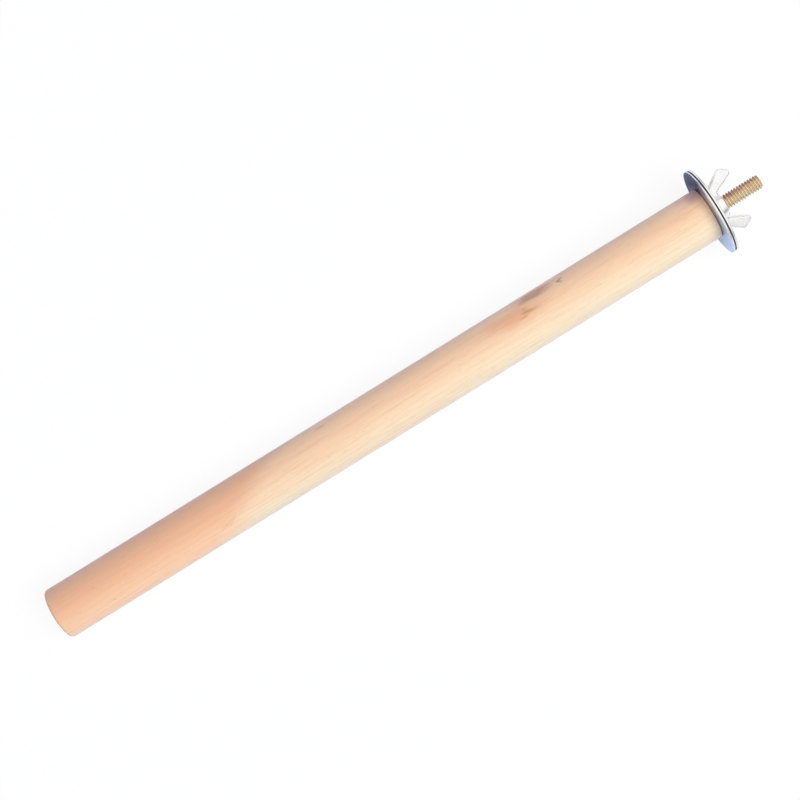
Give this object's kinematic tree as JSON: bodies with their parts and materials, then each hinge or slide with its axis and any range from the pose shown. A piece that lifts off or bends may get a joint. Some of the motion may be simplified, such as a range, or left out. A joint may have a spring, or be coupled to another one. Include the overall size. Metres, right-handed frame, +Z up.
{
  "type": "bird perch",
  "caption": "Round wooden bird perch for a cage wall: a dowel with a threaded stud in its end, wide washers that grip the cage bars and a wing nut that draws them together.",
  "frame": {"origin": "on the bolt's axis, at the inner washer's outer face, which presses on the cage bars", "axes": "+X along the bolt, away from the dowel and out through the cage wall; +Z up when the perch is in use; +Y follows by the right-hand rule"},
  "size_m": [0.3383, 0.0381, 0.038],
  "materials": {
    "dowel_wood": "smooth sanded pale wood, untreated, with fine lengthwise grain",
    "bolt_yellow_zinc": "rolled thread with yellow zinc plating",
    "washer_zinc": "stamped steel with bright zinc plating",
    "nut_zinc": "die-cast body with bright satin zinc plating"
  },
  "bodies": {
    "perch_rod": {"perch_dowel": "dowel_wood", "hanger_bolt": "bolt_yellow_zinc"},
    "inner_washer": {"inner_washer": "washer_zinc"},
    "outer_washer": {"outer_washer": "washer_zinc"},
    "wing_nut": {"wing_nut": "nut_zinc"}
  },
  "joints": [
    {"name": "inner_washer_spin", "type": "hinge", "parent": "perch_rod", "child": "inner_washer", "pos_m": [-0.0005, 0, 0], "axis": [1, 0, 0], "continuous": true},
    {"name": "washer_slide", "type": "slide", "parent": "perch_rod", "child": "outer_washer", "axis": [1, 0, 0], "range_m": [0, 0.0165]},
    {"name": "nut_turn", "type": "hinge", "parent": "outer_washer", "child": "wing_nut", "pos_m": [0.0038, 0, 0], "axis": [1, 0, 0], "range_deg": [0, 4680]}
  ],
  "couplings": [
    {"joint": "nut_turn", "follows": "washer_slide", "rad_per_m": 4947.4}
  ]
}
